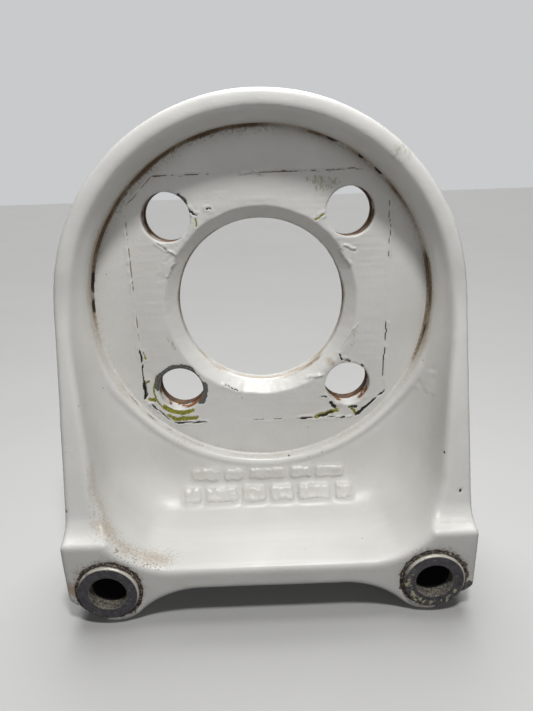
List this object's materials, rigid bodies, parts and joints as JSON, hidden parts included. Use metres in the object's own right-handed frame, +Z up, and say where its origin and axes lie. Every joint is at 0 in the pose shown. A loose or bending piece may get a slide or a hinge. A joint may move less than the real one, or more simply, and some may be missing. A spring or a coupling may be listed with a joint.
{
  "type": "stanchion base",
  "caption": "Painted cast bracket with a large bored mounting pad inside a deep arched rim, a square of bolt holes, and two bushed feet below for bolting it down.",
  "frame": {"origin": "centre of the large bore, on the machined front face of the pad", "axes": "-Y is the front, the way the pad and the feet face; +Z is up, from the feet to the round top; +X is to the right, seen from the front"},
  "size_m": [0.114, 0.044, 0.1396],
  "materials": {
    "painted_casting": "worn gloss white paint over green primer",
    "sleeve_steel": "rust stained",
    "bush_steel": "dull grey with bright edges",
    "sealant": "matte, dirty"
  },
  "bodies": {
    "root": {"base_casting": "painted_casting", "pad_sleeve_upper_left": "sleeve_steel", "pad_sleeve_upper_right": "sleeve_steel", "pad_sleeve_lower_left": "sleeve_steel", "pad_sleeve_lower_right": "sleeve_steel", "foot_bush_left": "bush_steel", "foot_bush_right": "bush_steel", "bush_sealant_left": "sealant", "bush_sealant_right": "sealant"}
  },
  "joints": []
}
